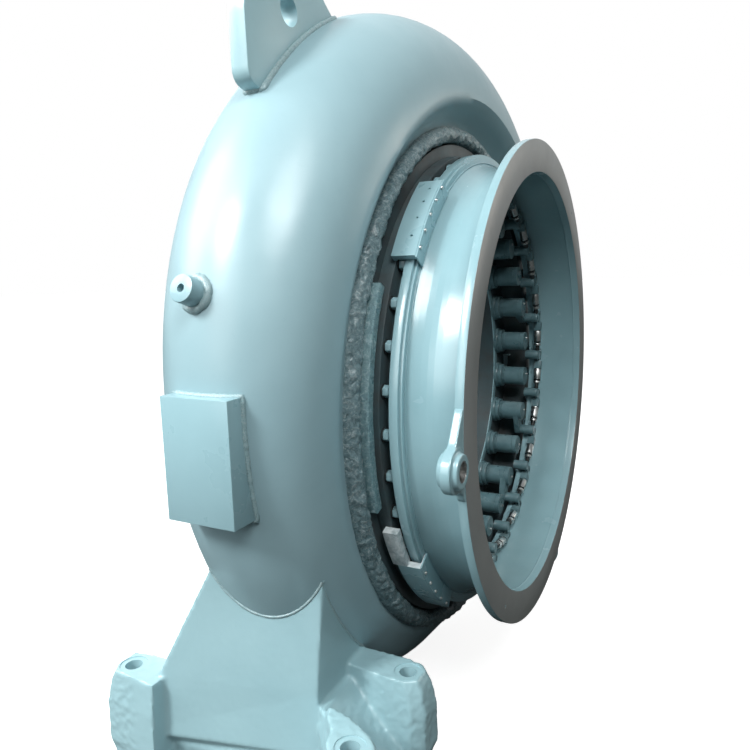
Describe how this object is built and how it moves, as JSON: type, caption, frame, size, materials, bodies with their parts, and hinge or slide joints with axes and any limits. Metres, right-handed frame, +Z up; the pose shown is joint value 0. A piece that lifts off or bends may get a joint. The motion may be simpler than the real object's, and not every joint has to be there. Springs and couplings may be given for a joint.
{
  "type": "francis turbine spiral casing with guide vane gear",
  "caption": "Spiral casing of a horizontal Francis turbine with covers, foot, guide vanes and a regulating ring that turns them through short links",
  "frame": {"origin": "On the floor, under the middle of the object's box", "axes": "+X along the shaft, out of the regulating ring's open end; +Y towards the side of the inlet pipe; +Z up"},
  "size_m": [0.8701, 2.1864, 2.051],
  "materials": {
    "casing_paint": "pale blue-green semi-gloss enamel, brushed and sprayed over cast and welded steel",
    "ring_paint": "thin semi-gloss enamel over turned steel",
    "zinc_steel": "bright zinc plated steel"
  },
  "bodies": {
    "root": {"spiral_casing": "casing_paint", "inlet_pipe": "casing_paint", "support_foot": "casing_paint", "lifting_lug": "casing_paint", "side_pad": "casing_paint", "head_cover": "casing_paint", "rear_cover": "casing_paint", "ring_retainer_top_near": "casing_paint", "ring_retainer_bottom_near": "casing_paint", "ring_retainer_top_far": "casing_paint", "ring_retainer_bottom_far": "casing_paint"},
    "regulating_ring": {"regulating_ring": "ring_paint"},
    "guide_vane_01": {"guide_vane_01": "casing_paint"},
    "link_01": {"link_01": "zinc_steel"},
    "guide_vane_02": {"guide_vane_02": "casing_paint"},
    "link_02": {"link_02": "zinc_steel"},
    "guide_vane_03": {"guide_vane_03": "casing_paint"},
    "link_03": {"link_03": "zinc_steel"},
    "guide_vane_04": {"guide_vane_04": "casing_paint"},
    "link_04": {"link_04": "zinc_steel"},
    "guide_vane_05": {"guide_vane_05": "casing_paint"},
    "link_05": {"link_05": "zinc_steel"},
    "guide_vane_06": {"guide_vane_06": "casing_paint"},
    "link_06": {"link_06": "zinc_steel"},
    "guide_vane_07": {"guide_vane_07": "casing_paint"},
    "link_07": {"link_07": "zinc_steel"},
    "guide_vane_08": {"guide_vane_08": "casing_paint"},
    "link_08": {"link_08": "zinc_steel"},
    "guide_vane_09": {"guide_vane_09": "casing_paint"},
    "link_09": {"link_09": "zinc_steel"},
    "guide_vane_10": {"guide_vane_10": "casing_paint"},
    "link_10": {"link_10": "zinc_steel"},
    "guide_vane_11": {"guide_vane_11": "casing_paint"},
    "link_11": {"link_11": "zinc_steel"},
    "guide_vane_12": {"guide_vane_12": "casing_paint"},
    "link_12": {"link_12": "zinc_steel"},
    "guide_vane_13": {"guide_vane_13": "casing_paint"},
    "link_13": {"link_13": "zinc_steel"},
    "guide_vane_14": {"guide_vane_14": "casing_paint"},
    "link_14": {"link_14": "zinc_steel"},
    "guide_vane_15": {"guide_vane_15": "casing_paint"},
    "link_15": {"link_15": "zinc_steel"},
    "guide_vane_16": {"guide_vane_16": "casing_paint"},
    "link_16": {"link_16": "zinc_steel"},
    "guide_vane_17": {"guide_vane_17": "casing_paint"},
    "link_17": {"link_17": "zinc_steel"},
    "guide_vane_18": {"guide_vane_18": "casing_paint"},
    "link_18": {"link_18": "zinc_steel"},
    "guide_vane_19": {"guide_vane_19": "casing_paint"},
    "link_19": {"link_19": "zinc_steel"},
    "guide_vane_20": {"guide_vane_20": "casing_paint"},
    "link_20": {"link_20": "zinc_steel"},
    "guide_vane_21": {"guide_vane_21": "casing_paint"},
    "link_21": {"link_21": "zinc_steel"},
    "guide_vane_22": {"guide_vane_22": "casing_paint"},
    "link_22": {"link_22": "zinc_steel"},
    "guide_vane_23": {"guide_vane_23": "casing_paint"},
    "link_23": {"link_23": "zinc_steel"},
    "guide_vane_24": {"guide_vane_24": "casing_paint"},
    "link_24": {"link_24": "zinc_steel"}
  },
  "joints": [
    {"name": "ring_turn", "type": "hinge", "parent": "root", "child": "regulating_ring", "pos_m": [0.42295, -0.08518, 0.931], "axis": [1, 0, 0], "range_deg": [-1.95, 0.53]},
    {"name": "vane_turn_01", "type": "hinge", "parent": "root", "child": "guide_vane_01", "pos_m": [0.12295, 0.22846, 1.33974], "axis": [1, 0, 0], "range_deg": [-22, 6]},
    {"name": "vane_turn_02", "type": "hinge", "parent": "root", "child": "guide_vane_02", "pos_m": [0.12295, 0.32356, 1.24463], "axis": [1, 0, 0], "range_deg": [-22, 6]},
    {"name": "vane_turn_03", "type": "hinge", "parent": "root", "child": "guide_vane_03", "pos_m": [0.12295, 0.39081, 1.12816], "axis": [1, 0, 0], "range_deg": [-22, 6]},
    {"name": "vane_turn_04", "type": "hinge", "parent": "root", "child": "guide_vane_04", "pos_m": [0.12295, 0.42562, 0.99825], "axis": [1, 0, 0], "range_deg": [-22, 6]},
    {"name": "vane_turn_05", "type": "hinge", "parent": "root", "child": "guide_vane_05", "pos_m": [0.12295, 0.42562, 0.86375], "axis": [1, 0, 0], "range_deg": [-22, 6]},
    {"name": "vane_turn_06", "type": "hinge", "parent": "root", "child": "guide_vane_06", "pos_m": [0.12295, 0.39081, 0.73384], "axis": [1, 0, 0], "range_deg": [-22, 6]},
    {"name": "vane_turn_07", "type": "hinge", "parent": "root", "child": "guide_vane_07", "pos_m": [0.12295, 0.32356, 0.61737], "axis": [1, 0, 0], "range_deg": [-22, 6]},
    {"name": "vane_turn_08", "type": "hinge", "parent": "root", "child": "guide_vane_08", "pos_m": [0.12295, 0.22846, 0.52226], "axis": [1, 0, 0], "range_deg": [-22, 6]},
    {"name": "vane_turn_09", "type": "hinge", "parent": "root", "child": "guide_vane_09", "pos_m": [0.12295, 0.11198, 0.45502], "axis": [1, 0, 0], "range_deg": [-22, 6]},
    {"name": "vane_turn_10", "type": "hinge", "parent": "root", "child": "guide_vane_10", "pos_m": [0.12295, -0.01793, 0.42021], "axis": [1, 0, 0], "range_deg": [-22, 6]},
    {"name": "vane_turn_11", "type": "hinge", "parent": "root", "child": "guide_vane_11", "pos_m": [0.12295, -0.15242, 0.42021], "axis": [1, 0, 0], "range_deg": [-22, 6]},
    {"name": "vane_turn_12", "type": "hinge", "parent": "root", "child": "guide_vane_12", "pos_m": [0.12295, -0.28233, 0.45502], "axis": [1, 0, 0], "range_deg": [-22, 6]},
    {"name": "vane_turn_13", "type": "hinge", "parent": "root", "child": "guide_vane_13", "pos_m": [0.12295, -0.39881, 0.52226], "axis": [1, 0, 0], "range_deg": [-22, 6]},
    {"name": "vane_turn_14", "type": "hinge", "parent": "root", "child": "guide_vane_14", "pos_m": [0.12295, -0.49391, 0.61737], "axis": [1, 0, 0], "range_deg": [-22, 6]},
    {"name": "vane_turn_15", "type": "hinge", "parent": "root", "child": "guide_vane_15", "pos_m": [0.12295, -0.56116, 0.73384], "axis": [1, 0, 0], "range_deg": [-22, 6]},
    {"name": "vane_turn_16", "type": "hinge", "parent": "root", "child": "guide_vane_16", "pos_m": [0.12295, -0.59597, 0.86375], "axis": [1, 0, 0], "range_deg": [-22, 6]},
    {"name": "vane_turn_17", "type": "hinge", "parent": "root", "child": "guide_vane_17", "pos_m": [0.12295, -0.59597, 0.99825], "axis": [1, 0, 0], "range_deg": [-22, 6]},
    {"name": "vane_turn_18", "type": "hinge", "parent": "root", "child": "guide_vane_18", "pos_m": [0.12295, -0.56116, 1.12816], "axis": [1, 0, 0], "range_deg": [-22, 6]},
    {"name": "vane_turn_19", "type": "hinge", "parent": "root", "child": "guide_vane_19", "pos_m": [0.12295, -0.49391, 1.24463], "axis": [1, 0, 0], "range_deg": [-22, 6]},
    {"name": "vane_turn_20", "type": "hinge", "parent": "root", "child": "guide_vane_20", "pos_m": [0.12295, -0.39881, 1.33974], "axis": [1, 0, 0], "range_deg": [-22, 6]},
    {"name": "vane_turn_21", "type": "hinge", "parent": "root", "child": "guide_vane_21", "pos_m": [0.12295, -0.28233, 1.40698], "axis": [1, 0, 0], "range_deg": [-22, 6]},
    {"name": "vane_turn_22", "type": "hinge", "parent": "root", "child": "guide_vane_22", "pos_m": [0.12295, -0.15242, 1.44179], "axis": [1, 0, 0], "range_deg": [-22, 6]},
    {"name": "vane_turn_23", "type": "hinge", "parent": "root", "child": "guide_vane_23", "pos_m": [0.12295, -0.01793, 1.44179], "axis": [1, 0, 0], "range_deg": [-22, 6]},
    {"name": "vane_turn_24", "type": "hinge", "parent": "root", "child": "guide_vane_24", "pos_m": [0.12295, 0.11198, 1.40698], "axis": [1, 0, 0], "range_deg": [-22, 6]},
    {"name": "link_swing_01", "type": "hinge", "parent": "regulating_ring", "child": "link_01", "pos_m": [0.26755, 0.1979, 1.45673], "axis": [1, 0, 0], "range_deg": [-8.8, 2.4]},
    {"name": "link_swing_02", "type": "hinge", "parent": "regulating_ring", "child": "link_02", "pos_m": [0.26755, 0.32433, 1.36555], "axis": [1, 0, 0], "range_deg": [-8.8, 2.4]},
    {"name": "link_swing_03", "type": "hinge", "parent": "regulating_ring", "child": "link_03", "pos_m": [0.26755, 0.42284, 1.24476], "axis": [1, 0, 0], "range_deg": [-8.8, 2.4]},
    {"name": "link_swing_04", "type": "hinge", "parent": "regulating_ring", "child": "link_04", "pos_m": [0.26755, 0.48674, 1.10258], "axis": [1, 0, 0], "range_deg": [-8.8, 2.4]},
    {"name": "link_swing_05", "type": "hinge", "parent": "regulating_ring", "child": "link_05", "pos_m": [0.26755, 0.51166, 0.94871], "axis": [1, 0, 0], "range_deg": [-8.8, 2.4]},
    {"name": "link_swing_06", "type": "hinge", "parent": "regulating_ring", "child": "link_06", "pos_m": [0.26755, 0.49591, 0.79364], "axis": [1, 0, 0], "range_deg": [-8.8, 2.4]},
    {"name": "link_swing_07", "type": "hinge", "parent": "regulating_ring", "child": "link_07", "pos_m": [0.26755, 0.44056, 0.64792], "axis": [1, 0, 0], "range_deg": [-8.8, 2.4]},
    {"name": "link_swing_08", "type": "hinge", "parent": "regulating_ring", "child": "link_08", "pos_m": [0.26755, 0.34938, 0.5215], "axis": [1, 0, 0], "range_deg": [-8.8, 2.4]},
    {"name": "link_swing_09", "type": "hinge", "parent": "regulating_ring", "child": "link_09", "pos_m": [0.26755, 0.22858, 0.42298], "axis": [1, 0, 0], "range_deg": [-8.8, 2.4]},
    {"name": "link_swing_10", "type": "hinge", "parent": "regulating_ring", "child": "link_10", "pos_m": [0.26755, 0.08641, 0.35908], "axis": [1, 0, 0], "range_deg": [-8.8, 2.4]},
    {"name": "link_swing_11", "type": "hinge", "parent": "regulating_ring", "child": "link_11", "pos_m": [0.26755, -0.06746, 0.33416], "axis": [1, 0, 0], "range_deg": [-8.8, 2.4]},
    {"name": "link_swing_12", "type": "hinge", "parent": "regulating_ring", "child": "link_12", "pos_m": [0.26755, -0.22254, 0.34991], "axis": [1, 0, 0], "range_deg": [-8.8, 2.4]},
    {"name": "link_swing_13", "type": "hinge", "parent": "regulating_ring", "child": "link_13", "pos_m": [0.26755, -0.36825, 0.40527], "axis": [1, 0, 0], "range_deg": [-8.8, 2.4]},
    {"name": "link_swing_14", "type": "hinge", "parent": "regulating_ring", "child": "link_14", "pos_m": [0.26755, -0.49468, 0.49645], "axis": [1, 0, 0], "range_deg": [-8.8, 2.4]},
    {"name": "link_swing_15", "type": "hinge", "parent": "regulating_ring", "child": "link_15", "pos_m": [0.26755, -0.59319, 0.61724], "axis": [1, 0, 0], "range_deg": [-8.8, 2.4]},
    {"name": "link_swing_16", "type": "hinge", "parent": "regulating_ring", "child": "link_16", "pos_m": [0.26755, -0.65709, 0.75942], "axis": [1, 0, 0], "range_deg": [-8.8, 2.4]},
    {"name": "link_swing_17", "type": "hinge", "parent": "regulating_ring", "child": "link_17", "pos_m": [0.26755, -0.68201, 0.91329], "axis": [1, 0, 0], "range_deg": [-8.8, 2.4]},
    {"name": "link_swing_18", "type": "hinge", "parent": "regulating_ring", "child": "link_18", "pos_m": [0.26755, -0.66626, 1.06836], "axis": [1, 0, 0], "range_deg": [-8.8, 2.4]},
    {"name": "link_swing_19", "type": "hinge", "parent": "regulating_ring", "child": "link_19", "pos_m": [0.26755, -0.61091, 1.21408], "axis": [1, 0, 0], "range_deg": [-8.8, 2.4]},
    {"name": "link_swing_20", "type": "hinge", "parent": "regulating_ring", "child": "link_20", "pos_m": [0.26755, -0.51973, 1.3405], "axis": [1, 0, 0], "range_deg": [-8.8, 2.4]},
    {"name": "link_swing_21", "type": "hinge", "parent": "regulating_ring", "child": "link_21", "pos_m": [0.26755, -0.39893, 1.43902], "axis": [1, 0, 0], "range_deg": [-8.8, 2.4]},
    {"name": "link_swing_22", "type": "hinge", "parent": "regulating_ring", "child": "link_22", "pos_m": [0.26755, -0.25676, 1.50292], "axis": [1, 0, 0], "range_deg": [-8.8, 2.4]},
    {"name": "link_swing_23", "type": "hinge", "parent": "regulating_ring", "child": "link_23", "pos_m": [0.26755, -0.10289, 1.52784], "axis": [1, 0, 0], "range_deg": [-8.8, 2.4]},
    {"name": "link_swing_24", "type": "hinge", "parent": "regulating_ring", "child": "link_24", "pos_m": [0.26755, 0.05219, 1.51208], "axis": [1, 0, 0], "range_deg": [-8.8, 2.4]}
  ],
  "couplings": [
    {"joint": "vane_turn_01", "follows": "ring_turn", "ratio": 11.3},
    {"joint": "vane_turn_02", "follows": "ring_turn", "ratio": 11.3},
    {"joint": "vane_turn_03", "follows": "ring_turn", "ratio": 11.3},
    {"joint": "vane_turn_04", "follows": "ring_turn", "ratio": 11.3},
    {"joint": "vane_turn_05", "follows": "ring_turn", "ratio": 11.3},
    {"joint": "vane_turn_06", "follows": "ring_turn", "ratio": 11.3},
    {"joint": "vane_turn_07", "follows": "ring_turn", "ratio": 11.3},
    {"joint": "vane_turn_08", "follows": "ring_turn", "ratio": 11.3},
    {"joint": "vane_turn_09", "follows": "ring_turn", "ratio": 11.3},
    {"joint": "vane_turn_10", "follows": "ring_turn", "ratio": 11.3},
    {"joint": "vane_turn_11", "follows": "ring_turn", "ratio": 11.3},
    {"joint": "vane_turn_12", "follows": "ring_turn", "ratio": 11.3},
    {"joint": "vane_turn_13", "follows": "ring_turn", "ratio": 11.3},
    {"joint": "vane_turn_14", "follows": "ring_turn", "ratio": 11.3},
    {"joint": "vane_turn_15", "follows": "ring_turn", "ratio": 11.3},
    {"joint": "vane_turn_16", "follows": "ring_turn", "ratio": 11.3},
    {"joint": "vane_turn_17", "follows": "ring_turn", "ratio": 11.3},
    {"joint": "vane_turn_18", "follows": "ring_turn", "ratio": 11.3},
    {"joint": "vane_turn_19", "follows": "ring_turn", "ratio": 11.3},
    {"joint": "vane_turn_20", "follows": "ring_turn", "ratio": 11.3},
    {"joint": "vane_turn_21", "follows": "ring_turn", "ratio": 11.3},
    {"joint": "vane_turn_22", "follows": "ring_turn", "ratio": 11.3},
    {"joint": "vane_turn_23", "follows": "ring_turn", "ratio": 11.3},
    {"joint": "vane_turn_24", "follows": "ring_turn", "ratio": 11.3},
    {"joint": "link_swing_01", "follows": "ring_turn", "ratio": 4.5},
    {"joint": "link_swing_02", "follows": "ring_turn", "ratio": 4.5},
    {"joint": "link_swing_03", "follows": "ring_turn", "ratio": 4.5},
    {"joint": "link_swing_04", "follows": "ring_turn", "ratio": 4.5},
    {"joint": "link_swing_05", "follows": "ring_turn", "ratio": 4.5},
    {"joint": "link_swing_06", "follows": "ring_turn", "ratio": 4.5},
    {"joint": "link_swing_07", "follows": "ring_turn", "ratio": 4.5},
    {"joint": "link_swing_08", "follows": "ring_turn", "ratio": 4.5},
    {"joint": "link_swing_09", "follows": "ring_turn", "ratio": 4.5},
    {"joint": "link_swing_10", "follows": "ring_turn", "ratio": 4.5},
    {"joint": "link_swing_11", "follows": "ring_turn", "ratio": 4.5},
    {"joint": "link_swing_12", "follows": "ring_turn", "ratio": 4.5},
    {"joint": "link_swing_13", "follows": "ring_turn", "ratio": 4.5},
    {"joint": "link_swing_14", "follows": "ring_turn", "ratio": 4.5},
    {"joint": "link_swing_15", "follows": "ring_turn", "ratio": 4.5},
    {"joint": "link_swing_16", "follows": "ring_turn", "ratio": 4.5},
    {"joint": "link_swing_17", "follows": "ring_turn", "ratio": 4.5},
    {"joint": "link_swing_18", "follows": "ring_turn", "ratio": 4.5},
    {"joint": "link_swing_19", "follows": "ring_turn", "ratio": 4.5},
    {"joint": "link_swing_20", "follows": "ring_turn", "ratio": 4.5},
    {"joint": "link_swing_21", "follows": "ring_turn", "ratio": 4.5},
    {"joint": "link_swing_22", "follows": "ring_turn", "ratio": 4.5},
    {"joint": "link_swing_23", "follows": "ring_turn", "ratio": 4.5},
    {"joint": "link_swing_24", "follows": "ring_turn", "ratio": 4.5}
  ]
}
